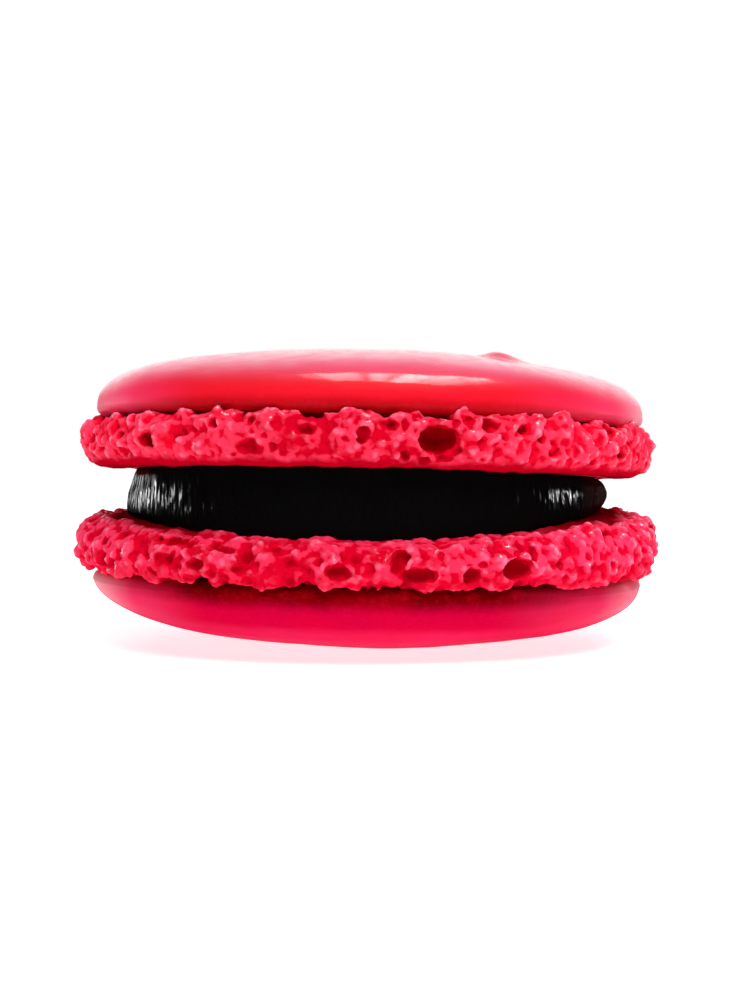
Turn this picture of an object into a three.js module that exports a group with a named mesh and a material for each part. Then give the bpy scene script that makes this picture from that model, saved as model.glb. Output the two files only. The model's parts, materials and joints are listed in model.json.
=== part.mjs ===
// A French macaron: two domed almond meringue shells with craggy feet, and a dark ganache filling
// between them. Millimetres, +Z up, -Y to the front. The origin is on the table, under the middle
// of the macaron, which stands on a small flat spot of its lower dome.
import * as THREE from 'three';

// ---- Driving dimensions ----

// The ganache disc.
const FILLING = {
  radius: 18.2, // where it meets the shells
  centre: { x: 0.2, y: -1.2 }, // it was squeezed a little to the front
  bulge: 0.25, // how far the middle of its wall stands out
  wallUneven: 0.2, // how far the wall wanders in and out round the disc
  wanders: 19,
  seed: 6151,
};

// The upper shell, dome up.
const TOP = {
  up: 1,
  baseHeight: 13.07, // flat baked face, at the axis
  baseLean: { x: -0.022, y: -0.0262 }, // rise of that face for each millimetre along X and Y
  rimHeight: 17.2, // edge of the dome, at the axis
  rimLean: { x: -0.0235, y: -0.019 },
  frontDip: 0,
  footRadius: 22.3,
  rimRadius: 21.15,
  domeCentre: { x: 0.25, y: 0 },
  domeHeight: 5.2,
  domePower: 0.33, // lower is a steeper shoulder with a flatter top
  seed: 4107,
};

// The lower shell, dome down.
const BOTTOM = {
  up: -1,
  baseHeight: 10.28,
  baseLean: { x: 0.003, y: 0 },
  rimHeight: 5.18,
  rimLean: { x: -0.0148, y: 0 },
  frontDip: 2.06, // how much lower the baked face lies at the front edge than across the middle
  footRadius: 22.6,
  rimRadius: 21.25,
  domeCentre: { x: 0, y: 0 },
  domeHeight: 5.36, // more than rimHeight, so that the bottom is pressed flat
  domePower: 0.43,
  seed: 9213,
};

// The foot, the ruffled ring of foam between the baked face and the dome.
const FOOT = {
  rounding: 1.7, // how far its edges draw in from its widest part
  roundingPower: 3.2,
  topLevel: 0.94, // top of the foam, as a share of the way from the baked face to the rim
  creviceDepth: 1.15, // groove under the rim, measured in from the rim's edge
  ragged: 0.045, // how unevenly the foam climbs into the groove, as a share of the same height
  fringeSize: 2.6, // width of a tip of that ragged edge
  lump: { size: 1.55, rows: 3, depth: 0.6 }, // big lumps: spacing, rows up the foot, creases between
  crumb: { size: 0.85, rows: 6, depth: 0.3 }, // small lumps on them
  bubbles: 95, // burst bubbles round the ring
  bubbleRadius: [0.55, 1.15],
  bubbleDepth: [0.4, 1.0],
  bubbleLevels: [0.25, 0.85],
  bubbleFlatness: 0.8, // height of a bubble against its width
};

// The largest burst bubbles and grooves, each [degrees round from +X, share of the foot's height,
// half width, half height, depth].
const TOP_HOLLOWS = [
  [-77, 0.5, 1.35, 0.95, 1.8],
  [-133, 0.48, 0.75, 0.7, 1.6],
  [-147, 0.68, 0.6, 1.0, 1.0],
  [-101, 0.64, 1.3, 0.5, 1.1],
  [-86, 0.74, 0.9, 0.5, 1.0],
  [-67, 0.78, 0.9, 0.6, 1.2],
  [-60, 0.72, 0.75, 0.5, 1.2],
  [-53, 0.35, 0.8, 0.5, 1.0],
  [-37, 0.8, 0.8, 0.6, 1.1],
  [118, 0.55, 1.3, 0.85, 1.5],
  [63, 0.7, 1.0, 0.6, 1.2],
  [12, 0.5, 1.1, 0.8, 1.2],
];
const BOTTOM_HOLLOWS = [
  [-71, 0.64, 0.75, 0.6, 1.4],
  [-81, 0.6, 1.2, 0.55, 1.1],
  [-95, 0.54, 0.9, 0.75, 1.2],
  [-62, 0.52, 1.2, 0.9, 1.3],
  [-85, 0.33, 0.8, 0.5, 0.9],
  [-122, 0.5, 0.9, 0.6, 1.0],
  [-150, 0.62, 0.9, 0.8, 1.1],
  [-158, 0.3, 0.9, 0.6, 1.0],
  [150, 0.6, 1.2, 0.7, 1.2],
  [97, 0.45, 1.3, 0.9, 1.4],
  [48, 0.6, 1.0, 0.6, 1.2],
];

// The peak left by the piping nozzle on the upper dome.
const NUB = { x: 9.3, y: -8, radius: 1.75, height: 0.85 };

// Each dome's slow swell and dip, and its rounded edge over the groove.
const DOME = {
  uneven: 0.14,
  swells: 5,
  calmPole: 3, // how quickly that unevenness sets in, away from the middle
  calmEdge: 12, // and away from the edge
  edgeRise: 0.45, // from the rim to the dome's widest part
  lipWidth: 0.3, // how far the rim lies inside that widest part
};

// How finely each part is cut into facets, from the foot in towards the axis.
const FOOT_SEGMENTS = 150;
const FOOT_ROWS = 9;
const WALL_SEGMENTS = 96;
const WALL_ROWS = 5;
const FACE_RINGS = [ // the flat faces inside the filling's edge: [share of its radius, segments]
  [0.68, 48],
  [0.34, 24],
];
const DOME_RINGS = [ // [share of the rim's radius, segments]
  [0.995, 96],
  [0.975, 96],
  [0.94, 96],
  [0.89, 72],
  [0.81, 72],
  [0.71, 72],
  [0.6, 48],
  [0.48, 48],
  [0.35, 48],
  [0.22, 24],
  [0.11, 12],
];

// ---- Seeded unevenness ----

function seededDraw(seed) {
  let state = seed;
  return () => {
    state = (state * 48271) % 2147483647;
    return state / 2147483647;
  };
}

// Smooth noise from -1 to 1 on a band: turn runs once round it, level from one edge to the other.
function bandNoise(seed, columns, rows) {
  const draw = seededDraw(seed);
  const heights = Array.from({ length: columns * (rows + 1) }, () => 2 * draw() - 1);
  const ease = (t) => t * t * (3 - 2 * t);
  return (turn, level) => {
    const across = (turn - Math.floor(turn)) * columns;
    const up = THREE.MathUtils.clamp(level, 0, 0.9999) * rows;
    const column = Math.floor(across) % columns;
    const row = Math.floor(up);
    const at = (c, r) => heights[((column + c) % columns) * (rows + 1) + row + r];
    const u = ease(across - Math.floor(across));
    const low = THREE.MathUtils.lerp(at(0, 0), at(1, 0), u);
    const high = THREE.MathUtils.lerp(at(0, 1), at(1, 1), u);
    return THREE.MathUtils.lerp(low, high, ease(up - row));
  };
}

// The part of a turn that is left, from -0.5 to 0.5.
function roundTurn(turns) {
  return turns - Math.round(turns);
}

// How far the foam of a foot lies inside its widest surface, at a turn round it and a level up it.
function makeFootRelief(shell, hollows) {
  const around = 2 * Math.PI * shell.footRadius;
  const tall = Math.abs(shell.rimHeight - shell.baseHeight);
  const grain = ({ size, rows }, seed) => bandNoise(seed, Math.round(around / size), rows);
  const lumps = grain(FOOT.lump, shell.seed);
  const crumbs = grain(FOOT.crumb, shell.seed + 1);
  const crease = (noise) => (1 - Math.abs(noise)) ** 3;
  const draw = seededDraw(shell.seed + 2);
  const mostlySmall = ([least, most]) => least + (most - least) * draw() ** 2;

  const pits = hollows.map(([degrees, level, wide, high, depth]) => {
    return { turn: degrees / 360, level, wide, high, depth };
  });
  for (let i = 0; i < FOOT.bubbles; i += 1) {
    const wide = mostlySmall(FOOT.bubbleRadius);
    const turn = (i + draw()) / FOOT.bubbles;
    const level = THREE.MathUtils.lerp(...FOOT.bubbleLevels, draw());
    const depth = mostlySmall(FOOT.bubbleDepth);
    pits.push({ turn, level, wide, high: wide * FOOT.bubbleFlatness, depth });
  }

  return (turn, level) => {
    const share = THREE.MathUtils.clamp(level / FOOT.topLevel, 0, 1);
    const fade = Math.sqrt(Math.sin(Math.PI * share));
    const lump = FOOT.lump.depth * crease(lumps(turn, share));
    const crumb = FOOT.crumb.depth * crease(crumbs(turn, share));
    let depth = fade * (lump + crumb);
    for (const pit of pits) {
      const along = (roundTurn(turn - pit.turn) * around) / pit.wide;
      const up = ((level - pit.level) * tall) / pit.high;
      const reach = along * along + up * up;
      if (reach < 1) depth = Math.max(depth, pit.depth * Math.sqrt(1 - reach));
    }
    return depth;
  };
}

// ---- The surfaces that the pieces share ----

const AXIS = { x: 0, y: 0 };

// Height of a shell's flat baked face. The filling's faces use it too, so the pieces lie face to face.
function bakedFace(shell, x, y) {
  const dip = shell.frontDip * Math.max(0, -y / shell.footRadius) ** 1.5;
  return shell.baseHeight + shell.baseLean.x * x + shell.baseLean.y * y - dip;
}

function rimPlane(shell, x, y) {
  return shell.rimHeight + shell.rimLean.x * x + shell.rimLean.y * y;
}

// ---- Rings of points, and the closed skin over a stack of them ----

function ring(centre, segments, radiusAt, heightAt) {
  return Array.from({ length: segments }, (_, i) => {
    const turn = i / segments;
    const angle = turn * 2 * Math.PI;
    const radius = radiusAt(turn);
    const x = centre.x + radius * Math.cos(angle);
    const y = centre.y + radius * Math.sin(angle);
    return new THREE.Vector3(x, y, heightAt(x, y, turn));
  });
}

function pole(centre, heightAt) {
  return new THREE.Vector3(centre.x, centre.y, heightAt(centre.x, centre.y, 0));
}

// Rings run from the lowest pole to the highest. Between two rings the lacing steps along the one that
// lags, or the finer one where they are level, so that two faces that meet are laced alike. Rings of
// the same count make squares, each split along its shorter diagonal.
function skin(lowPole, rings, highPole) {
  const points = [lowPole, ...rings.flat(), highPole];
  const triangles = [];
  const starts = [1];
  rings.forEach((loop, r) => starts.push(starts[r] + loop.length));
  const pick = (r, i) => starts[r] + (i % rings[r].length);
  const span = (a, b) => points[a].distanceToSquared(points[b]);

  rings[0].forEach((_, i) => triangles.push(0, pick(0, i + 1), pick(0, i)));
  for (let r = 0; r + 1 < rings.length; r += 1) {
    const lowCount = rings[r].length;
    const highCount = rings[r + 1].length;
    let low = 0;
    let high = 0;
    while (low < lowCount || high < highCount) {
      const [a, b] = [pick(r, low), pick(r, low + 1)];
      const [c, d] = [pick(r + 1, high), pick(r + 1, high + 1)];
      const lag = (high + 1) * lowCount - (low + 1) * highCount || lowCount - highCount;
      if (lag > 0 || (lag === 0 && span(b, c) < span(a, d))) {
        triangles.push(a, b, c);
        low += 1;
      } else {
        triangles.push(a, d, c);
        high += 1;
      }
    }
  }
  const last = rings.length - 1;
  rings[last].forEach((_, i) => triangles.push(pick(last, i), pick(last, i + 1), points.length - 1));

  const geometry = new THREE.BufferGeometry().setFromPoints(points);
  geometry.setIndex(triangles);
  geometry.computeVertexNormals();
  return geometry;
}

// Rings of a baked face inside the filling's edge, from the edge inwards.
function faceRings(heightAt) {
  return [[1, WALL_SEGMENTS], ...FACE_RINGS].map(([share, segments]) => {
    return ring(FILLING.centre, segments, () => share * FILLING.radius, heightAt);
  });
}

// ---- The pieces ----

function footRings(shell, hollows) {
  const relief = makeFootRelief(shell, hollows);
  const tips = Math.round((2 * Math.PI * shell.footRadius) / FOOT.fringeSize);
  const fringe = bandNoise(shell.seed + 3, tips, 1);
  const heightAtLevel = (x, y, level) => {
    return THREE.MathUtils.lerp(bakedFace(shell, x, y), rimPlane(shell, x, y), level);
  };

  const rings = [];
  for (let row = 0; row <= FOOT_ROWS; row += 1) {
    const share = row / FOOT_ROWS;
    const levelAt = (turn) => FOOT.topLevel * share + FOOT.ragged * share ** 4 * fringe(turn, 0);
    const drawIn = FOOT.rounding * Math.abs(2 * share - 1) ** FOOT.roundingPower;
    rings.push(ring(
      AXIS,
      FOOT_SEGMENTS,
      (turn) => shell.footRadius - drawIn - relief(turn, levelAt(turn)),
      (x, y, turn) => heightAtLevel(x, y, levelAt(turn)),
    ));
  }
  const groove = (levelAt) => ring(
    shell.domeCentre,
    FOOT_SEGMENTS,
    () => shell.rimRadius - FOOT.creviceDepth,
    (x, y, turn) => heightAtLevel(x, y, levelAt(turn)),
  );
  rings.push(groove((turn) => FOOT.topLevel + (FOOT.ragged / 2) * fringe(turn, 0)));
  rings.push(groove(() => 1));
  return rings;
}

function domeRings(shell) {
  const swell = bandNoise(shell.seed + 4, DOME.swells, 3);
  const heightAt = (share) => (x, y, turn) => {
    const rise = shell.domeHeight * Math.max(0, 1 - share * share) ** shell.domePower;
    const calm = Math.min(1, DOME.calmPole * share, DOME.calmEdge * (1 - share));
    const uneven = DOME.uneven * calm * swell(turn, share);
    const nub = shell.up > 0 ? nubRise(x, y) : 0;
    return Math.max(0, rimPlane(shell, x, y) + shell.up * (rise + uneven) + nub);
  };
  const rim = (inside, rise) => ring(
    shell.domeCentre,
    WALL_SEGMENTS,
    () => shell.rimRadius - inside,
    (x, y) => rimPlane(shell, x, y) + shell.up * rise,
  );
  const rings = DOME_RINGS.map(([share, segments]) => {
    return ring(shell.domeCentre, segments, () => share * shell.rimRadius, heightAt(share));
  });
  return {
    rings: [rim(DOME.lipWidth, 0), rim(0, DOME.edgeRise), ...rings],
    pole: pole(shell.domeCentre, heightAt(0)),
  };
}

function nubRise(x, y) {
  const away = Math.hypot(x - NUB.x, y - NUB.y) / NUB.radius;
  return away < 1 ? (NUB.height * (1 + Math.cos(Math.PI * away))) / 2 : 0;
}

function makeShell(shell, hollows) {
  const face = (x, y) => bakedFace(shell, x, y);
  const facePole = pole(FILLING.centre, face);
  const dome = domeRings(shell);
  const rings = [...faceRings(face).reverse(), ...footRings(shell, hollows), ...dome.rings];
  return shell.up > 0
    ? skin(facePole, rings, dome.pole)
    : skin(dome.pole, rings.reverse(), facePole);
}

function makeFilling() {
  const underside = (x, y) => bakedFace(BOTTOM, x, y);
  const upperSide = (x, y) => bakedFace(TOP, x, y);
  const wander = bandNoise(FILLING.seed, FILLING.wanders, 2);
  const wall = [];
  for (let row = 1; row < WALL_ROWS; row += 1) {
    const share = row / WALL_ROWS;
    const belly = Math.sin(Math.PI * share);
    wall.push(ring(
      FILLING.centre,
      WALL_SEGMENTS,
      (turn) => {
        return FILLING.radius + belly * (FILLING.bulge + FILLING.wallUneven * wander(turn, share));
      },
      (x, y) => THREE.MathUtils.lerp(underside(x, y), upperSide(x, y), share),
    ));
  }
  return skin(
    pole(FILLING.centre, underside),
    [...faceRings(underside).reverse(), ...wall, ...faceRings(upperSide)],
    pole(FILLING.centre, upperSide),
  );
}

// ---- The macaron ----

const raspberryShell = new THREE.MeshStandardMaterial({
  color: 0xe0103a,
  roughness: 0.45,
  metalness: 0,
});
const darkGanache = new THREE.MeshStandardMaterial({
  color: 0x0c0506,
  roughness: 0.25,
  metalness: 0,
});

function addPiece(group, name, geometry, material) {
  const mesh = new THREE.Mesh(geometry, material);
  mesh.name = name;
  group.add(mesh);
}

const macaron = new THREE.Group();
macaron.name = 'french_macaron';
addPiece(macaron, 'bottom_shell', makeShell(BOTTOM, BOTTOM_HOLLOWS), raspberryShell);
addPiece(macaron, 'filling', makeFilling(), darkGanache);
addPiece(macaron, 'top_shell', makeShell(TOP, TOP_HOLLOWS), raspberryShell);

export default macaron;
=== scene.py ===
"""A raspberry French macaron: two domed almond shells with torn, foamy feet, and black ganache between."""
import json
import math
import random

import bpy
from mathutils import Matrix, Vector, noise
from mathutils.bvhtree import BVHTree

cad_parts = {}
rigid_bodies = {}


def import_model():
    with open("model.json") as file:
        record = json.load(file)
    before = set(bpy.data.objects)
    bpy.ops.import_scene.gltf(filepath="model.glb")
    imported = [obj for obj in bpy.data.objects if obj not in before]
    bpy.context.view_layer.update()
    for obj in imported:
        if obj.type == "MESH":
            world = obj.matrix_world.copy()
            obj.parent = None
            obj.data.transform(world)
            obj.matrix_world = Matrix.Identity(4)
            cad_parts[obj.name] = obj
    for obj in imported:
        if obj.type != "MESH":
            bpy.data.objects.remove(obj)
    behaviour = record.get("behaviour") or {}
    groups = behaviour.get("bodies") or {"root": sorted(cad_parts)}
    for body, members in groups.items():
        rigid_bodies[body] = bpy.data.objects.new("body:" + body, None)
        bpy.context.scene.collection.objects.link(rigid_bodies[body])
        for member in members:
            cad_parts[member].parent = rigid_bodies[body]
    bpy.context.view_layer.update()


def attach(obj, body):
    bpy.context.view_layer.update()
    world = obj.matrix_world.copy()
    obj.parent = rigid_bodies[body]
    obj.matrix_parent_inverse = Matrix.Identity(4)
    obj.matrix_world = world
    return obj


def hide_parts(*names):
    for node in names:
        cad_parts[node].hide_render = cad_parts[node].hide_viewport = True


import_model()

MM = 0.001

# ---- Sizes, in millimetres and degrees ----

# A shell's flat baked face and its rim are planes that lean a little, and its foot lies between the two.
# "up" is 1 for the shell whose dome is above its rim, and -1 for the one whose dome is below.
TOP = {
    "name": "top", "node": "top_shell", "up": 1, "seed": 4107,
    "base_height": 13.07, "base_lean": (-0.022, -0.0262), "front_dip": 0,
    "rim_height": 17.2, "rim_lean": (-0.0235, -0.019),
    "foot_radius": 22.3, "rim_radius": 21.15,
    "dome_centre": (0.25, 0), "dome_height": 5.2, "dome_power": 0.33,
    "torn_at_base": 0.25, "torn_from": 18.6, "front_swell": 0,
    "fringe": 1.0, "left_shortfall": 0.06, "front_climb": 0.07,
}
BOTTOM = {
    "name": "bottom", "node": "bottom_shell", "up": -1, "seed": 9213,
    "base_height": 10.28, "base_lean": (0.003, 0), "front_dip": 2.06,
    "rim_height": 5.18, "rim_lean": (-0.0148, 0),
    "foot_radius": 22.6, "rim_radius": 21.25,
    "dome_centre": (0, 0), "dome_height": 5.36, "dome_power": 0.43,
    "torn_at_base": 0.95, "torn_from": 18.4, "front_swell": 0.3,
    "fringe": 0.4, "left_shortfall": 0, "front_climb": 0,
}
FILLING = {"radius": 18.2, "centre": (0.2, -1.2), "bulge": 0.25}

# The largest burst bubbles of each foot, as (degrees round from +X, share of the way from the baked face
# to the rim, half width, half height, half depth).
TOP_HOLLOWS = [
    (-77, 0.5, 1.6, 1.1, 2.3), (-135, 0.44, 0.85, 0.6, 2.0), (-147, 0.68, 0.6, 1.0, 1.0),
    (-101, 0.64, 1.3, 0.5, 1.1), (-86, 0.74, 0.9, 0.5, 1.0), (-67, 0.78, 0.9, 0.6, 1.2),
    (-60, 0.72, 0.75, 0.5, 1.2), (-53, 0.35, 0.8, 0.5, 1.0), (-37, 0.8, 0.8, 0.6, 1.1),
    (118, 0.55, 1.3, 0.85, 1.5), (63, 0.7, 1.0, 0.6, 1.2), (12, 0.5, 1.1, 0.8, 1.2),
]
BOTTOM_HOLLOWS = [
    (-71, 0.64, 0.8, 0.65, 1.7), (-81, 0.6, 1.4, 0.6, 1.7), (-95, 0.54, 1.0, 0.6, 1.4),
    (-62, 0.54, 1.3, 0.9, 2.0), (-85, 0.33, 0.8, 0.5, 0.8), (-122, 0.5, 0.9, 0.5, 0.8),
    (-150, 0.62, 0.9, 0.8, 1.1), (-158, 0.3, 0.9, 0.6, 1.0), (150, 0.6, 1.2, 0.7, 1.2),
    (97, 0.45, 1.3, 0.9, 1.4), (48, 0.6, 1.0, 0.6, 1.2),
]
DIP_POWER = 1.5  # how late the lower baked face starts to sag towards the front


def baked_face(shell, x, y):
    """Height of a shell's flat baked face, which the filling meets."""
    dip = shell["front_dip"] * max(0.0, -y / shell["foot_radius"]) ** DIP_POWER
    return shell["base_height"] + shell["base_lean"][0] * x + shell["base_lean"][1] * y - dip


def rim_plane(shell, x, y):
    """Height of the rim, where a dome meets its foot."""
    return shell["rim_height"] + shell["rim_lean"][0] * x + shell["rim_lean"][1] * y


# ---- Hand tools ----

def deselect():
    if bpy.context.object and bpy.context.object.mode != "OBJECT":
        bpy.ops.object.mode_set(mode="OBJECT")
    bpy.ops.object.select_all(action="DESELECT")


def take(piece):
    """Makes a piece the one that is worked on."""
    deselect()
    piece.select_set(True)
    bpy.context.view_layer.objects.active = piece


def lathe(name, outline, steps):
    """Turns an outline of (radius, height) points round the upright axis into a closed piece."""
    deselect()
    bpy.ops.mesh.primitive_plane_add(size=MM)
    piece = bpy.context.object
    piece.name = piece.data.name = name
    bpy.ops.object.mode_set(mode="EDIT")
    bpy.ops.mesh.select_all(action="SELECT")
    bpy.ops.mesh.merge(type="CENTER")
    radius, height = outline[0]
    bpy.ops.transform.translate(value=(radius * MM, 0, height * MM))
    for (r0, z0), (r1, z1) in zip(outline, outline[1:]):
        step = ((r1 - r0) * MM, 0, (z1 - z0) * MM)
        bpy.ops.mesh.extrude_region_move(TRANSFORM_OT_translate={"value": step})
    bpy.ops.mesh.select_all(action="SELECT")
    bpy.ops.mesh.spin(steps=steps, angle=2 * math.pi, center=(0, 0, 0), axis=(0, 0, 1))
    bpy.ops.mesh.select_all(action="SELECT")
    bpy.ops.mesh.remove_doubles(threshold=0.001 * MM)
    bpy.ops.mesh.normals_make_consistent(inside=False)
    bpy.ops.object.mode_set(mode="OBJECT")
    return piece


def modify(piece, kind, **settings):
    """Adds a modifier, sets it and applies it."""
    take(piece)
    modifier = piece.modifiers.new(kind.title(), kind)
    for key, value in settings.items():
        setattr(modifier, key, value)
    bpy.ops.object.modifier_apply(modifier=modifier.name)


def relief(piece, size, depth, level=0.5, kind="CLOUDS", group="", **looks):
    """Raises and sinks a surface by a noise of that size and depth, in millimetres."""
    pattern = bpy.data.textures.new(f"{piece.name}_relief", kind)
    pattern.noise_scale = size * MM
    for key, value in looks.items():
        setattr(pattern, key, value)
    modify(
        piece, "DISPLACE", texture=pattern, texture_coords="LOCAL", strength=depth * MM, mid_level=level,
        vertex_group=group,
    )
    bpy.data.textures.remove(pattern)


def mark(piece, name, amount_at):
    """A vertex group whose weight comes from each point's place, in steps of a twentieth."""
    group = piece.vertex_groups.new(name=name)
    steps = {}
    for vertex in piece.data.vertices:
        amount = round(20 * min(1.0, max(0.0, amount_at(vertex.co / MM)))) / 20
        steps.setdefault(amount, []).append(vertex.index)
    for amount, points in steps.items():
        group.add(points, amount, "REPLACE")
    return name


def note(piece, name, values):
    """Keeps a number with each point of a piece, for its finish."""
    piece.data.attributes.new(name, "FLOAT", "POINT").data.foreach_set("value", values)


def reshape(piece, place_at):
    """Moves each point of a piece by its own place, in millimetres."""
    for vertex in piece.data.vertices:
        vertex.co = place_at(vertex.co / MM) * MM
    piece.data.update()


def lay_on(piece, height_at):
    """Sets each point's height by its place, so that a piece follows the lean and the sag of the shells."""
    reshape(piece, lambda place: Vector((place.x, place.y, height_at(*place))))


def smooth_up_to(piece, degrees):
    """Shades a piece smooth, apart from edges that turn by more than that."""
    take(piece)
    bpy.ops.object.shade_smooth_by_angle(angle=math.radians(degrees))


def triangles(piece):
    return sum(len(face.vertices) - 2 for face in piece.data.polygons)


def join(pieces):
    take(pieces[0])
    for piece in pieces[1:]:
        piece.select_set(True)
    bpy.ops.object.join()
    bpy.ops.object.transform_apply(location=True, rotation=True, scale=True)
    return bpy.context.object


# ---- The domes ----

DOME_ROWS, DOME_STEPS = 46, 240
OUTERMOST_ROW = 0.9995  # as a share of the dome's radius
EDGE_RISE = 0.45  # from the rim to the dome's widest part
# From the widest part in under the lip, as (how far inside the widest part, rise from the rim).
LIP = [(0, EDGE_RISE), (0.03, 0.25), (0.12, 0.05), (0.3, -0.12), (0.7, -0.3), (1.5, -0.42)]
CORE_RADIUS, CORE_SHOULDER, CORE_DEPTH = 18.4, 0.5, 4
SWELLS = [(9, 0.3, 0), (3.0, 0.06, 1)]  # the skin's unevenness, as (width, depth, noise depth)
NUB = {"place": (9.8, -8), "left": 1.9, "right": 2.7, "height": 0.48}  # the peak left by the piping nozzle
CREASE_ANGLE = 50


def dome_outline(shell):
    """From the middle over the shoulder to the widest part, in under the lip, and along the core."""
    up, radius = shell["up"], shell["rim_radius"]
    shares = [math.sin(math.pi / 2 * i / DOME_ROWS) for i in range(DOME_ROWS)] + [OUTERMOST_ROW]
    points = []
    for share in shares:
        rise = shell["dome_height"] * (1 - share * share) ** shell["dome_power"]
        points.append((radius * share, up * max(rise, EDGE_RISE)))
    points += [(radius - inside, up * rise) for inside, rise in LIP]
    points += [(CORE_RADIUS, -up * CORE_SHOULDER), (CORE_RADIUS, -up * CORE_DEPTH), (0, -up * CORE_DEPTH)]
    return points


def nub_rise(place):
    """The share of the nub's height at a place: full in its middle, none past its edge."""
    aside, ahead = place.x - NUB["place"][0], place.y - NUB["place"][1]
    away = math.hypot(aside / NUB["right" if aside > 0 else "left"], ahead / NUB["left"])
    return (1 + math.cos(math.pi * away)) / 2 if away < 1 else 0.0


def shell_dome(shell):
    """A smooth baked dome with the shell's core, which ends at the baked face."""
    dome = lathe(f"{shell['name']}_dome", dome_outline(shell), DOME_STEPS)
    take(dome)
    bpy.ops.transform.translate(value=(*(c * MM for c in shell["dome_centre"]), 0))
    bpy.ops.object.transform_apply(location=True)
    up = shell["up"]

    def on_top(place):
        return min(1.0, max(0.0, up * place.z - EDGE_RISE))

    skin = mark(dome, "smooth_skin", on_top)
    for width, depth, noise_depth in SWELLS:
        relief(dome, width, depth, group=skin, noise_depth=noise_depth)
    if up > 0:
        nub = mark(dome, "nub", lambda place: on_top(place) * nub_rise(place))
        modify(dome, "DISPLACE", strength=NUB["height"] * MM, mid_level=0, direction="Z", vertex_group=nub)

    def settled(x, y, z):
        """Leans the dome with its rim, ends its core at the baked face, and presses it flat on the table."""
        if abs(z + up * CORE_DEPTH) < 0.01:
            return baked_face(shell, x, y)
        return max(0.0, rim_plane(shell, x, y) + z)

    lay_on(dome, settled)
    dome.vertex_groups.clear()
    smooth_up_to(dome, CREASE_ANGLE)
    return dome


# ---- The feet ----

FOOT_ROWS, FOOT_STEPS = 20, 300
FOOT_INNER = 17.6  # the foot is a ring round the shell's core
BASE_ROUNDING, RIM_ROUNDING, ROUNDING_POWER = 1.7, 0.95, 3.2
# The ring's rim side slopes in under the dome: how far inside the rim that starts, its level there,
# and its level at the core.
TUCK, TUCK_LEVEL, CORE_LEVEL = 1.4, 0.985, 0.97
# The foam's edge along the dome rises and falls in waves, with finer ones on them.
WAVE_SCALE, FINER_SCALE = 0.42, 2.7
WAVE_CLIMB, FINE_CLIMB, ALL_ROUND_SHORTFALL = 0.12, 0.09, 0.01
RING_VOXEL, BUBBLE_VOXEL, FOAM_VOXEL = 0.16, 0.11, 0.12
WEAR, WEAR_ROUNDS = 0.5, 4  # takes the sharpness off the cut bubbles' edges
SMOOTH_EDGE = 1.6  # how far from the smooth inner part the foam is fully torn
TORN_PER_LEVEL = 4
CRAGS = {"size": 2.6, "depth": 1.2, "level": 0.66}
COARSE_PEBBLES, FINE_PEBBLES = (1.25, 0.85), (0.55, 0.25)  # (width, depth)
PEBBLE_LEVEL = 0.15
MOST_TRIANGLES = 190000

# The small burst bubbles. A half size is the least one plus a share of the spread, and large ones are rare.
BUBBLE_TRIES = 1200  # about seven in ten are cut: the others fall outside the patches
LEAST_BUBBLE, BUBBLE_SPREAD, LARGE_RARITY = 0.16, 0.3, 3.5
BUBBLE_STRETCH = (0.7, 1.6)
BUBBLE_LEVELS = (0.1, 1.04)
BUBBLE_SINK = (-0.6, 0.4)
# The patches cover most of the foot, and more of it near the rim.
PATCH_SCALE, PATCH_SHARE, BASE_BARENESS = 0.55, 0.35, 0.7
LOOK_FROM, LOOK_FAR = 3, 7  # from outside the plain side, inwards to the torn skin

# How deep a point lies is measured from a smoothed foot, or from the plain side where that gives more.
SOFTENING, SOFTENING_ROUNDS = 0.6, 60
HOLLOW_SHARE, PLAIN_SIDE_DEPTH, HOLLOW_LEVELS = 0.4, 0.65, (0.12, 0.9)


def foot_height(shell, x, y, level):
    """Height at a level of the foot, 0 on the baked face and 1 at the rim."""
    low, high = baked_face(shell, x, y), rim_plane(shell, x, y)
    return low + (high - low) * level


def level_of(shell, place):
    low, high = baked_face(shell, place.x, place.y), rim_plane(shell, place.x, place.y)
    return (place.z - low) / (high - low)


def foot_radius(shell, level):
    """The plain side of a foot, rounded off towards the baked face and the rim."""
    rounding = RIM_ROUNDING if level > 0.5 else BASE_ROUNDING
    return shell["foot_radius"] - rounding * abs(2 * level - 1) ** ROUNDING_POWER


def fringe(shell, x, y):
    """How far the foam climbs past the rim, or falls short of it, as a share of its height."""
    around = Vector((x, y, shell["seed"])) * WAVE_SCALE
    short = shell["left_shortfall"] * max(0.0, -x / shell["rim_radius"]) ** 2
    climb = shell["front_climb"] * max(0.0, -y / shell["rim_radius"]) ** 2
    waves = WAVE_CLIMB * noise.noise(around) + FINE_CLIMB * noise.noise(around * FINER_SCALE)
    return climb - ALL_ROUND_SHORTFALL - short + shell["fringe"] * waves


def foot_ring(shell):
    """The foot before it tears: a ring that bulges outside the dome."""
    levels = [i / FOOT_ROWS for i in range(FOOT_ROWS + 1)]
    outline = [(FOOT_INNER, 0)] + [(foot_radius(shell, level), level) for level in levels]
    outline += [(shell["rim_radius"] - TUCK, TUCK_LEVEL), (FOOT_INNER, CORE_LEVEL), (FOOT_INNER, 0)]
    foot = lathe(f"{shell['name']}_foot", outline, FOOT_STEPS)

    def laid(x, y, z):
        """The swell lifts the front near the baked face, and the fringe moves the edge along the dome."""
        swell = shell["front_swell"] * max(0.0, -y / shell["foot_radius"]) ** 2 * (1 - z) ** 3
        return foot_height(shell, x, y, z * (1 + fringe(shell, x, y) * z ** 4)) + swell

    lay_on(foot, laid)
    modify(foot, "REMESH", mode="VOXEL", voxel_size=RING_VOXEL * MM)
    return foot


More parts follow.
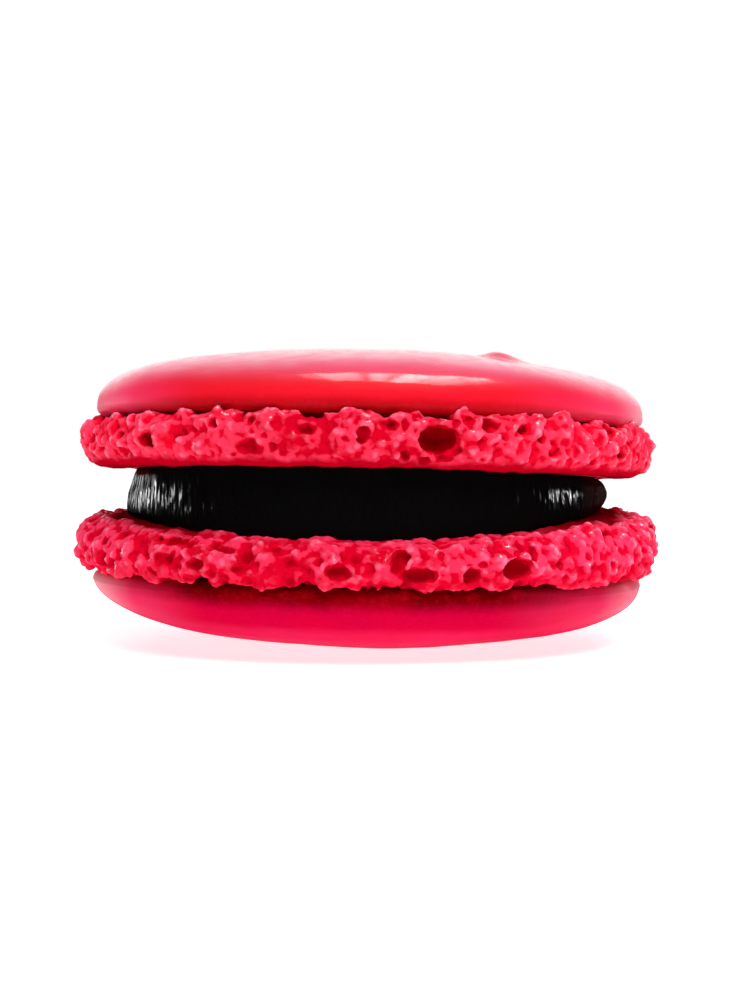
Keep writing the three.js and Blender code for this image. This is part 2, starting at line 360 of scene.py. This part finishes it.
def side_of_foot(shell, degrees, level):
    """A point on the foot's plain side, and the direction outwards."""
    out = Vector((math.cos(math.radians(degrees)), math.sin(math.radians(degrees)), 0))
    place = out * foot_radius(shell, level)
    place.z = foot_height(shell, place.x, place.y, level)
    return place, out


def bubble_places(foot, shell, hollows):
    """Each burst bubble as (middle, its three half sizes, turn), in millimetres and radians."""
    draw = random.Random(shell["seed"])
    points = [vertex.co / MM for vertex in foot.data.vertices]
    skin = BVHTree.FromPolygons(points, [face.vertices for face in foot.data.polygons])
    places = []
    for degrees, level, wide, high, depth in hollows:
        place, _ = side_of_foot(shell, degrees, level)
        places.append((place, (depth, wide, high), (0, 0, math.radians(degrees))))
    for _ in range(BUBBLE_TRIES):
        size = LEAST_BUBBLE + BUBBLE_SPREAD * draw.random() ** LARGE_RARITY
        sizes = [size * draw.uniform(*BUBBLE_STRETCH) for _ in range(3)]
        turn = [draw.uniform(0, math.pi) for _ in range(3)]
        level = draw.uniform(*BUBBLE_LEVELS)
        sink = draw.uniform(*BUBBLE_SINK)
        place, out = side_of_foot(shell, draw.uniform(0, 360), level)
        point, normal, _, _ = skin.ray_cast(place + out * LOOK_FROM, -out, LOOK_FAR)
        bareness = BASE_BARENESS * (1 - level)
        if point and noise.noise(point * PATCH_SCALE) + PATCH_SHARE > draw.random() * bareness:
            places.append((point - normal * sink * size, sizes, turn))
    return places


def burst_bubbles(foot, shell, hollows):
    """All the bubbles of a foot as one closed tool, to be cut out of it."""
    places = bubble_places(foot, shell, hollows)
    deselect()
    bpy.ops.mesh.primitive_ico_sphere_add(subdivisions=2, radius=MM)
    seed_ball = bpy.context.object
    balls = []
    for centre, sizes, turn in places:
        ball = seed_ball.copy()
        ball.data = seed_ball.data.copy()
        ball.location, ball.rotation_euler, ball.scale = centre * MM, turn, sizes
        balls.append(ball)
    for ball in balls:
        bpy.context.collection.objects.link(ball)
    bpy.data.objects.remove(seed_ball)
    tool = join(balls)
    modify(tool, "REMESH", mode="VOXEL", voxel_size=BUBBLE_VOXEL * MM)
    return tool


def drop_crumbs(piece):
    """Takes away the bits that the bubbles have cut loose. What holds together with the inner wall stays."""
    take(piece)
    inmost = min(piece.data.vertices, key=lambda vertex: vertex.co.xy.length).index
    bpy.ops.object.mode_set(mode="EDIT")
    bpy.ops.mesh.select_mode(type="VERT")
    bpy.ops.mesh.select_all(action="DESELECT")
    bpy.ops.object.mode_set(mode="OBJECT")
    piece.data.vertices[inmost].select = True
    bpy.ops.object.mode_set(mode="EDIT")
    bpy.ops.mesh.select_linked()
    bpy.ops.mesh.select_all(action="INVERT")
    bpy.ops.mesh.delete(type="VERT")
    bpy.ops.object.mode_set(mode="OBJECT")


def pebbles(piece, size, depth, group):
    """Rounded lumps with creases between them, as foam sets when it dries."""
    looks = {"kind": "VORONOI", "distance_metric": "DISTANCE_SQUARED"}
    relief(piece, size, -depth, level=PEBBLE_LEVEL, group=group, **looks)


def note_foam(foot, shell):
    """Keeps with each point how deep it lies in the foam, in millimetres, and its level up the foot."""
    smoothed = foot.copy()
    smoothed.data = foot.data.copy()
    bpy.context.collection.objects.link(smoothed)
    modify(smoothed, "SMOOTH", factor=SOFTENING, iterations=SOFTENING_ROUNDS)
    lowest, highest = HOLLOW_LEVELS
    hollows, levels = [], []
    for soft, sharp in zip(smoothed.data.vertices, foot.data.vertices):
        place = sharp.co / MM
        level = level_of(shell, place)
        depth = (soft.co - sharp.co).dot(sharp.normal) / MM
        if lowest < level < highest:
            in_side = foot_radius(shell, min(1, max(0, level))) - math.hypot(place.x, place.y)
            depth = max(depth, HOLLOW_SHARE * (in_side - PLAIN_SIDE_DEPTH))
        hollows.append(depth)
        levels.append(level)
    note(foot, "hollow", hollows)
    note(foot, "level", levels)
    bpy.data.objects.remove(smoothed)


def shell_foot(shell, hollows):
    """The torn, foamy foot of a shell."""
    foot = foot_ring(shell)

    def torn(place):
        outside = (math.hypot(place.x, place.y) - shell["torn_from"]) / SMOOTH_EDGE
        return min(shell["torn_at_base"] + TORN_PER_LEVEL * level_of(shell, place), outside)

    relief(foot, **CRAGS, group=mark(foot, "torn", torn), noise_depth=1)
    pebbles(foot, *COARSE_PEBBLES, "torn")
    tool = burst_bubbles(foot, shell, hollows)
    modify(foot, "BOOLEAN", operation="DIFFERENCE", object=tool, solver="MANIFOLD")
    bpy.data.objects.remove(tool)
    modify(foot, "REMESH", mode="VOXEL", voxel_size=FOAM_VOXEL * MM)
    drop_crumbs(foot)
    foot.vertex_groups.clear()
    modify(foot, "SMOOTH", factor=WEAR, iterations=WEAR_ROUNDS)
    pebbles(foot, *FINE_PEBBLES, mark(foot, "torn", torn))
    if triangles(foot) > MOST_TRIANGLES:
        modify(foot, "DECIMATE", ratio=MOST_TRIANGLES / triangles(foot))
    take(foot)
    bpy.ops.object.shade_smooth()
    foot.vertex_groups.clear()
    note_foam(foot, shell)
    return foot


# ---- The filling ----

WALL_ROWS, FACE_ROWS, FILLING_STEPS = 16, 8, 960
WALL_SWELL, WALL_RIDGES = (3.2, 0.4), (0.4, 0.14)  # (width, depth)
ON_WALL, NEAR_WALL = 0.1, 1  # how far inside the disc's radius such a point may lie
# The wall is rounded off towards the shells, more so at the right, and juts out low down at the left.
ROUNDING, RIGHT_ROUNDING, LEFT_JUT, LEFT_LEAN = 0.2, 0.85, 0.35, 0.8


def squeezed_out(place):
    """Shapes the wall as the shells pressed it out, and sets the disc off the middle."""
    away = place.xy.length
    if away > FILLING["radius"] - NEAR_WALL:
        right = max(0.0, place.x / away)
        from_middle = min(1.0, abs(2 * place.z - 1))
        rounding = (ROUNDING + RIGHT_ROUNDING * right ** 5) * (1 - math.sqrt(1 - from_middle ** 2))
        left_lean = max(0.0, -place.x / away) ** 6 * (LEFT_JUT - LEFT_LEAN * place.z)
        share = (away + FILLING["bulge"] * (1 - right) - rounding + left_lean) / away
        place = Vector((place.x * share, place.y * share, place.z))
    return place + Vector((*FILLING["centre"], 0))


def ganache():
    """The disc of ganache, with its wall a little bulged and ridged."""
    radius = FILLING["radius"]
    outline = [(radius * i / FACE_ROWS, 0) for i in range(FACE_ROWS)]
    outline += [(radius, i / WALL_ROWS) for i in range(WALL_ROWS + 1)]
    outline += [(radius * i / FACE_ROWS, 1) for i in range(FACE_ROWS - 1, -1, -1)]
    filling = lathe("ganache_filling", outline, FILLING_STEPS)

    def on_wall(place):
        if place.xy.length <= radius - ON_WALL:
            return 0.0
        return math.sin(math.pi * min(1, max(0, place.z))) ** 0.5

    relief(filling, *WALL_SWELL, group=mark(filling, "wall", on_wall), noise_depth=1)
    relief(filling, *WALL_RIDGES, group="wall", noise_depth=1, noise_type="HARD_NOISE")
    reshape(filling, squeezed_out)
    note(filling, "level", [vertex.co.z / MM for vertex in filling.data.vertices])

    def settled(x, y, z):
        low, high = baked_face(BOTTOM, x, y), baked_face(TOP, x, y)
        return low + (high - low) * z

    lay_on(filling, settled)
    filling.vertex_groups.clear()
    smooth_up_to(filling, CREASE_ANGLE)
    return filling


# ---- Finishes ----

class Sum:
    """A value that changes over a surface. Python's operators on it add Math nodes."""

    def __init__(self, finish, socket):
        self.finish, self.socket = finish, socket

    def math(self, operation, *values):
        return self.finish.node("Math", {"operation": operation}, dict(enumerate(values)))

    def __add__(self, other):
        return self.math("ADD", self, other)

    def __radd__(self, other):
        return self.math("ADD", other, self)

    def __sub__(self, other):
        return self.math("SUBTRACT", self, other)

    def __rsub__(self, other):
        return self.math("SUBTRACT", other, self)

    def __mul__(self, other):
        return self.math("MULTIPLY", self, other)

    def __rmul__(self, other):
        return self.math("MULTIPLY", other, self)

    def __pow__(self, other):
        return self.math("POWER", self, other)

    def __neg__(self):
        return self.math("MULTIPLY", -1, self)

    def __abs__(self):
        return self.math("ABSOLUTE", self)

    def or_more(self, other):
        """The larger of two values."""
        return self.math("MAXIMUM", self, other)

    def between(self, low, high):
        """0 at low, 1 at high, smooth in between."""
        settings = {"interpolation_type": "SMOOTHSTEP"}
        return self.finish.node("MapRange", settings, {"Value": self, "From Min": low, "From Max": high})

    def along(self, low, high):
        """The same for a distance, with low and high in millimetres."""
        return self.between(low * MM, high * MM)


class Finish:
    """Builds the nodes of one material or of the surroundings."""

    def __init__(self, owner):
        owner.use_nodes = True
        self.tree = owner.node_tree
        self.tree.nodes.clear()

    def node(self, kind, settings=None, sockets=None, out=0):
        """Adds a node, sets it, and fills its sockets with numbers, colours or links."""
        made = self.tree.nodes.new("ShaderNode" + kind)
        for key, value in (settings or {}).items():
            setattr(made, key, value)
        for key, value in (sockets or {}).items():
            if isinstance(value, Sum):
                self.tree.links.new(value.socket, made.inputs[key])
            else:
                made.inputs[key].default_value = value
        return Sum(self, made.outputs[out]) if made.outputs else None

    def place(self):
        """Where a point lies on the piece, in metres."""
        return self.node("TexCoord", out="Object")

    def axes(self, place=None):
        """A place as three numbers."""
        parts = self.node("SeparateXYZ", {}, {0: place or self.place()}).socket.node
        return [Sum(self, socket) for socket in parts.outputs]

    def noted(self, name):
        """A number that is kept with each point of the piece."""
        return self.node("Attribute", {"attribute_name": name}, out="Fac")

    def noise(self, size, detail, place=None):
        """A cloudy noise whose grains are about that many millimetres across."""
        sockets = {"Vector": place or self.place(), "Scale": 1 / (size * MM), "Detail": detail}
        return self.node("TexNoise", {}, sockets)

    def waver(self, amount, size, detail):
        """A noise that adds to a value in some places and takes from it in others."""
        return amount * (self.noise(size, detail) - 0.5)

    def mix(self, share, first, second):
        """Two colours mixed by a share: 0 is all the first, 1 all the second."""
        return self.node("Mix", {"data_type": "RGBA"}, {0: share, 6: first, 7: second}, out=2)

    def bump(self, height, depth, under=None):
        """Fine relief, at that many millimetres where the height is 1."""
        sockets = {"Height": height, "Distance": depth * MM}
        if under:
            sockets["Normal"] = under
        return self.node("Bump", {}, sockets)

    def surface(self, **sockets):
        """The shader of a solid surface, and the output."""
        sockets = {key.replace("_", " "): value for key, value in sockets.items()}
        shader = self.node("BsdfPrincipled", {}, sockets)
        self.node("OutputMaterial", {}, {"Surface": shader})


def new_finish(name):
    material = bpy.data.materials.new(name)
    return material, Finish(material)


# Colours are linear (red, green, blue, 1). Rises and distances are in millimetres.
# The pale colour on a dome's ends is a painted sheen.
PAINTED_END_SHEEN = (0.86, 0.40, 0.46, 1)
MOTTLE = (0.74, 0.0, 0.012, 1)
GRAIN = (0.95, 0.01, 0.07, 1)
LEFT_SIDE, RIGHT_SIDE = (11, 20), (8, 24)  # where a dome turns pinker, and paler with painted sheen, from the middle outwards
DOME_END = 21.3  # where the painted sheen on a dome's end is full
GLAZE_RISE = (0.9, 2.1)  # from where the glaze begins to where it is full

# From rim to crown a skin's colour goes from a painted shade under the foot, through its main red,
# to paler colours that are painted light: a sheen on the upper dome, and light from the table on the
# lower one. At the sides a blush takes the place of the main red and the painted light comes lower
# down, and a painted sheen lies on the ends of the dome from a given distance outwards.
SKINS = {
    "top": dict(
        painted_rim_shade=(0.40, 0.0, 0.003, 1), painted_rim_shade_rise=(0.1, 1.2),
        main=(0.79, 0.009, 0.022, 1), blush=(0.99, 0.02, 0.13, 1),
        painted_light_pale=(0.95, 0.083, 0.23, 1), painted_light_rise=(1.7, 3.8), painted_side_sheen=0.3,
        painted_light_crown=(0.88, 0.055, 0.14, 1), painted_crown_rise=(3.3, 4.8),
        painted_end_sheen_left=0.06, painted_end_sheen_right=0.5, painted_end_sheen_from=18,
        satin=0.1, gloss=0.9, coat_ior=1.4,
    ),
    "bottom": dict(
        painted_rim_shade=(0.165, 0.0, 0.001, 1), painted_rim_shade_rise=(0.45, 1.65),
        main=(0.52, 0.0, 0.04, 1), blush=(0.76, 0.07, 0.16, 1),
        painted_light_pale=(0.78, 0.02, 0.12, 1), painted_light_rise=(2.4, 3.7), painted_side_sheen=0.6,
        painted_light_crown=(0.80, 0.05, 0.15, 1), painted_crown_rise=(3.5, 4.3),
        painted_end_sheen_left=0.95, painted_end_sheen_right=0.6, painted_end_sheen_from=16.5,
        satin=0.0, gloss=0.3, coat_ior=1.3,
    ),
}


def smooth_skin(
    name, shell, painted_rim_shade, painted_rim_shade_rise, main, blush, painted_light_pale, painted_light_rise, painted_side_sheen, painted_light_crown, painted_crown_rise,
    painted_end_sheen_left, painted_end_sheen_right, painted_end_sheen_from, satin, gloss, coat_ior,
):
    """The satin skin of a dome: painted shade makes it deep red along its rim, and painted light makes it
    paler on its crown, sides and ends. It has a fine grain.
    """
    material, f = new_finish(name)
    x, y, z = f.axes()
    above_rim = z - shell["rim_height"] * MM - shell["rim_lean"][0] * x - shell["rim_lean"][1] * y
    rise = above_rim * (shell["up"] / MM) + f.waver(0.4, size=3, detail=2)
    side = (-x).along(*LEFT_SIDE) + x.along(*RIGHT_SIDE)
    # Painted shade: the skin turns deep red along the rim, under the foot, less so at the sides.
    colour = f.mix(rise.between(*painted_rim_shade_rise) + 0.8 * side, painted_rim_shade, f.mix(0.8 * side, main, blush))
    # Painted light, paler towards the crown and lower down at the sides: sheen above, table light below.
    colour = f.mix(rise.between(*painted_light_rise) + painted_side_sheen * side, colour, painted_light_pale)
    colour = f.mix(rise.between(*painted_crown_rise), colour, painted_light_crown)
    # A painted sheen on the ends of the dome, from a given distance outwards.
    end_sheen_share = painted_end_sheen_left * (-x).along(painted_end_sheen_from, DOME_END) + painted_end_sheen_right * x.along(painted_end_sheen_from, DOME_END)
    colour = f.mix(end_sheen_share, colour, PAINTED_END_SHEEN)
    mottle = f.noise(4.5, detail=3).between(0.35, 0.7)
    colour = f.mix(0.2 * mottle, colour, MOTTLE)
    grain = f.noise(0.35, detail=2).between(0.45, 0.75)
    colour = f.mix(0.1 * grain, colour, GRAIN)
    ripples = f.bump(f.noise(1.3, detail=2), 0.018)
    glaze = gloss * rise.between(*GLAZE_RISE) * (0.75 + 0.25 * f.noise(1.0, detail=3).between(0.42, 0.56))
    f.surface(
        Base_Color=colour, Roughness=0.36 + 0.08 * mottle, IOR=1.4, Specular_IOR_Level=satin,
        Normal=f.bump(f.noise(0.22, detail=3), 0.005, under=ripples),
        Coat_Weight=glaze, Coat_Roughness=0.11, Coat_IOR=coat_ior,
    )
    return material


# Main is the foam's own colour. A painted highlight makes its raised points pale, and painted shade turns
# its hollows deep, or deepest in the middle of the front, and the bottoms of bubbles darker still. Random
# dark patches turn deep too. A painted shade lies on the smooth baked face and on the strip along it.
FOAMS = {
    "top": dict(
        tip_highlight=(0.98, 0.22, 0.36, 1), main=(0.96, 0.042, 0.105, 1), deep=(0.80, 0.003, 0.028, 1),
        deepest_shade=(0.64, 0.001, 0.018, 1), pit_shade=(0.32, 0.0, 0.003, 1),
        base_shade=(0.50, 0.0, 0.013, 1), base_shade_levels=(0.2, 0.06), rim_shade=0,
        front_shade=0.25, shade_middle=-1, shade_reach=(5, 14),
    ),
    "bottom": dict(
        tip_highlight=(0.98, 0.22, 0.38, 1), main=(0.96, 0.042, 0.125, 1), deep=(0.74, 0.002, 0.03, 1),
        deepest_shade=(0.65, 0.001, 0.02, 1), pit_shade=(0.4, 0.0, 0.006, 1),
        base_shade=(0.28, 0.0, 0.005, 1), base_shade_levels=(-0.3, -0.5), rim_shade=0.7,
        front_shade=0.35, shade_middle=-4, shade_reach=(7, 20),
    ),
}
FACE_EDGE = (20.3, 18.9)  # from the filling's middle: the foam ends and the smooth baked face, in painted shade, begins
OPEN_FRONT = (13, 18.5)  # ahead of the middle: past this the foam reaches in to the filling, without painted shade
PORE_SIZE = 0.4
SUGAR_IOR = 1.8


def torn_foam(
    name, tip_highlight, main, deep, deepest_shade, pit_shade, base_shade, base_shade_levels, rim_shade,
    front_shade, shade_middle, shade_reach,
):
    """The foam of a foot: a painted highlight makes its torn tips pale, painted shade its bubbles deep red.
    It has pores and glints of sugar.
    """
    material, f = new_finish(name)
    x, y, _ = f.axes()
    sunk = f.noted("hollow") + f.waver(0.08, size=0.5, detail=3)
    level = f.noted("level") + f.waver(0.2, size=1.5, detail=2)
    lying = f.node("Mapping", {}, {"Vector": f.place(), "Scale": (1, 1, 1.7)})
    # Random, stretched dark patches, which turn the foam deep below.
    dark_patches = f.noise(2.2, detail=2, place=lying).between(0.48, 0.66)
    front = 1 - abs(x - shade_middle * MM).along(*shade_reach)
    # Painted shade: hollows and the middle of the front turn deep, or deepest in that middle.
    shaded = sunk.between(-0.03, 0.08) + 0.65 * dark_patches + front_shade * front
    colour = f.mix(shaded, main, f.mix(front, deep, deepest_shade))
    # Painted shade at the bottoms of bubbles.
    colour = f.mix(sunk.between(0.1, 0.24), colour, pit_shade)
    # A painted highlight makes the raised points pale, less so in the front's painted shade.
    raised = (-sunk).between(0.06, 0.25)
    colour = f.mix(raised * (1 - 1.4 * front_shade * front), colour, tip_highlight)
    colour = f.mix(rim_shade * level.between(0.4, 1.0), colour, deep)
    forward = y - FILLING["centre"][1] * MM
    from_filling = (x * x + forward * forward) ** 0.5
    # Painted shade on the baked face beside the filling; it fades out in front.
    inside = from_filling.along(*FACE_EDGE) * level.between(0.4, 0.15)
    inside = inside * (1 - (-y).along(*OPEN_FRONT))
    # The strip along the baked face is in painted shade too.
    smooth_in_shade = inside.or_more(level.between(*base_shade_levels))
    colour = f.mix(smooth_in_shade, colour, base_shade)
    cells = f.node("TexVoronoi", {}, {"Vector": f.place(), "Scale": 1 / (PORE_SIZE * MM)}, out="Distance")
    pores = f.bump(cells.between(0.0, 0.5), 0.03)
    glint = f.noise(0.4, detail=1).between(0.54, 0.6) * (-sunk).between(0.0, 0.1) * (1 - smooth_in_shade)
    f.surface(
        Base_Color=colour, Roughness=0.75 - 0.2 * glint, Specular_IOR_Level=0.0,
        Normal=f.bump(f.noise(0.16, detail=3), 0.04, under=pores),
        Coat_Weight=glint, Coat_Roughness=0.2, Coat_IOR=SUGAR_IOR,
        Subsurface_Weight=0.2, Subsurface_Radius=(0.6 * MM, 0.05 * MM, 0.08 * MM), Subsurface_Scale=1.0,
    )
    return material


# Black, and a dark red that is a painted reflection of the shells.
BLACK, PAINTED_RED_REFLECTION = (0.0026, 0.0024, 0.0025, 1), (0.02, 0.0022, 0.003, 1)
RED_REFLECTION_END = (15, 18)  # to the right of the middle, where a painted reflection of the red shells tints the black
LEFT_WET = (6, 14.5)  # to the left of the middle, from dry to wet
RIGHT_WET, RIGHT_DRY = (12, 14.2), (15, 15.8)  # to its right, from dry to wet and back to dry
LEFT_CORNER = (-16.5, -14)  # where the dry strip under the upper shell is narrower


def dark_ganache():
    """Black ganache, matt where it is smooth, wet and streaked upright where its ends were pressed out."""
    material, f = new_finish("dark_ganache")
    x, _, _ = f.axes()
    level = f.noted("level") + f.waver(0.2, size=0.6, detail=2)
    upright = f.node("Mapping", {}, {"Vector": f.place(), "Scale": (1, 1, 0.15)})
    ridges = f.noise(0.3, detail=3, place=upright)
    folds = f.bump(f.noise(1.3, detail=2, place=upright), 0.1)
    left_end = (-x).along(*LEFT_WET) * level.between(0.12, 0.35)
    right_end = x.along(*RIGHT_WET) * (1 - x.along(*RIGHT_DRY)) * level.between(0.25, 0.5)
    below_shell = 1 - (level + 0.25 * x.along(*LEFT_CORNER)).between(0.8, 1.0)
    streaks = ridges.between(0.42, 0.6) * below_shell * (left_end + right_end)
    # The black turns dark red towards the right: a painted reflection of the shells.
    f.surface(
        Base_Color=f.mix(x.along(*RED_REFLECTION_END), BLACK, PAINTED_RED_REFLECTION), Roughness=0.4, Specular_IOR_Level=0.0,
        Normal=f.bump(ridges, 0.12, under=folds),
        Coat_Weight=0.02 + 0.98 * streaks, Coat_Roughness=0.12, Coat_IOR=1.75,
    )
    return material


# ---- The studio, in metres ----

TABLE_SIZE, CORNER_ROUNDING = 3, 0.4
TABLE_FADE = (0.25, 1.1)  # from the macaron outwards
# The table's painted glow: it gives off light though it is no lamp.
TABLE_GLOW = 0.72
WARM_WHITE = (1, 0.99, 0.985, 1)
MACARON_MIDDLE = (0, 0, 0.011)

# The panes of a window overhead, as (left, right, front and back edge, radiance), for a height of one.
WINDOW_PANES = [
    (-0.26, -0.19, -0.1, 0.3, 3), (-0.18, -0.01, -0.3, 0.3, 8), (0.03, 0.11, -0.3, 0.3, 10),
    (0.14, 0.235, -0.3, 0.3, 17), (0.245, 0.33, -0.3, 0.38, 10), (0.34, 0.42, -0.35, 0.4, 8),
    (0.42, 0.5, -0.3, 0.3, 3),
]
WINDOW_HEIGHT = 0.65
# The soft boxes, as (name, direction, distance, (width, height), radiance, whether the gloss shows it).
SOFTBOXES = [
    ("key_box", (0.1, -0.45, 0.62), 0.75, (0.5, 0.35), 10, False),
    ("left_strip", (-0.88, 0.47, 0.02), 0.8, (0.6, 0.07), 4.5, True),
    ("right_strip", (0.956, 0.29, 0.02), 0.8, (0.28, 0.06), 12, True),
    ("left_window", (-0.93, -0.05, 0.36), 0.8, (0.3, 0.08), 0.8, True),
]

EYE_DISTANCE, EYE_HEIGHT = 0.150, 0.0145
EYE_LOWERED = 1.346  # degrees below level
FILM_SIZE, FOCAL_LENGTH = 36, 68.93  # millimetres


def pale_table():
    """A white table that glows a little with painted light, as one lit from below,
    and fades into the background.
    """
    material, f = new_finish("pale_table")
    cloud = f.noise(60, detail=3)
    top = f.node("BsdfPrincipled", {}, {
        "Base Color": f.mix(cloud.between(0.3, 0.7), (0.80, 0.79, 0.785, 1), (0.83, 0.82, 0.815, 1)),
        "Roughness": 0.6 + 0.1 * cloud,
        "Emission Color": WARM_WHITE, "Emission Strength": TABLE_GLOW,
        "Normal": f.bump(f.noise(0.8, detail=3), 0.02),
    })
    away = f.node("VectorMath", {"operation": "LENGTH"}, {0: f.place()}, out="Value")
    faded = f.node("MixShader", {}, {0: away.between(*TABLE_FADE), 1: top, 2: f.node("BsdfTransparent")})
    f.node("OutputMaterial", {}, {"Surface": faded})
    return material


def table():
    """A pale table top with rounded corners. It has faded away before its edge."""
    deselect()
    bpy.ops.mesh.primitive_plane_add(size=TABLE_SIZE)
    top = bpy.context.object
    top.name = "table_top"
    bpy.ops.object.mode_set(mode="EDIT")
    bpy.ops.mesh.select_all(action="SELECT")
    bpy.ops.mesh.bevel(offset=CORNER_ROUNDING, segments=8, affect="VERTICES")
    bpy.ops.object.mode_set(mode="OBJECT")
    top.data.materials.append(pale_table())
    top.visible_glossy = False


def softbox(name, toward, distance, size, radiance, glossy=True, diffuse=True, flat=False):
    """A rectangular lamp out of the camera's sight. It looks at the macaron, or straight down if flat."""
    light = bpy.data.lights.new(name, "AREA")
    light.shape = "RECTANGLE"
    light.size, light.size_y = size
    light.energy = radiance * math.pi * size[0] * size[1]
    lamp = bpy.data.objects.new(name, light)
    bpy.context.scene.collection.objects.link(lamp)
    aim = Vector(MACARON_MIDDLE)
    lamp.location = aim + Vector(toward).normalized() * distance
    if not flat:
        lamp.rotation_euler = (aim - lamp.location).to_track_quat("-Z", "Y").to_euler()
    lamp.visible_camera, lamp.visible_glossy, lamp.visible_diffuse = False, glossy, diffuse


def surroundings():
    """Bright behind, dimmer above and dark in front, to keep the ganache black. The camera sees white."""
    world = bpy.data.worlds.new("surroundings")
    bpy.context.scene.world = world
    f = Finish(world)
    x, y, z = f.axes(f.node("TexCoord", out="Generated"))
    beside = abs(x).between(0.1, 0.45)
    not_low_in_the_middle = beside + (1 - beside) * z.between(-0.1, 0.05)
    behind = y.between(0.3, 0.95) * z.between(-0.65, -0.2) * not_low_in_the_middle
    behind = behind * (1 - 0.5 * z.between(0.3, 0.8))
    above = z.between(0.5, 1.0)
    strength = 0.01 + 1.2 * behind + 0.3 * above * (1 - behind)
    lit = f.node("Background", {}, {"Color": WARM_WHITE, "Strength": strength})
    seen = f.node("Background", {}, {"Color": (1, 1, 1, 1), "Strength": 1.0})
    camera_ray = f.node("LightPath", out="Is Camera Ray")
    f.node("OutputWorld", {}, {"Surface": f.node("MixShader", {}, {0: camera_ray, 1: lit, 2: seen})})


def window():
    """Its panes lie flat overhead. They light the gloss only, as the broken highlight on the upper dome."""
    for i, (left, right, front, back, radiance) in enumerate(WINDOW_PANES):
        toward = Vector(((left + right) / 2, (front + back) / 2, 1))
        size = (WINDOW_HEIGHT * (right - left), WINDOW_HEIGHT * (back - front))
        away = WINDOW_HEIGHT * toward.length
        softbox(f"window_pane_{i}", toward, away, size, radiance, diffuse=False, flat=True)


def studio():
    table()
    surroundings()
    window()
    for name, toward, distance, size, radiance, glossy in SOFTBOXES:
        softbox(name, toward, distance, size, radiance, glossy=glossy)


def camera():
    """Level with the filling and close, as the macaron would be seen on a table."""
    lens = bpy.data.cameras.new("camera")
    lens.sensor_width, lens.lens = FILM_SIZE, FOCAL_LENGTH
    lens.clip_start, lens.clip_end = 0.01, 20
    eye = bpy.data.objects.new("camera", lens)
    bpy.context.scene.collection.objects.link(eye)
    eye.location = (0, -EYE_DISTANCE, EYE_HEIGHT)
    eye.rotation_euler = (math.radians(90 - EYE_LOWERED), 0, 0)
    bpy.context.scene.camera = eye
    bpy.context.scene.view_settings.view_transform = "Standard"


# ---- The macaron ----

def finish_piece(piece, material, node):
    piece.data.materials.clear()
    piece.data.materials.append(material)
    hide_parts(node)
    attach(piece, "root")


def make_macaron():
    for shell, hollows in ((BOTTOM, BOTTOM_HOLLOWS), (TOP, TOP_HOLLOWS)):
        skin = smooth_skin(f"{shell['name']}_skin", shell, **SKINS[shell["name"]])
        foam = torn_foam(f"{shell['name']}_foam", **FOAMS[shell["name"]])
        finish_piece(shell_dome(shell), skin, shell["node"])
        finish_piece(shell_foot(shell, hollows), foam, shell["node"])
    finish_piece(ganache(), dark_ganache(), "filling")


make_macaron()
studio()
camera()
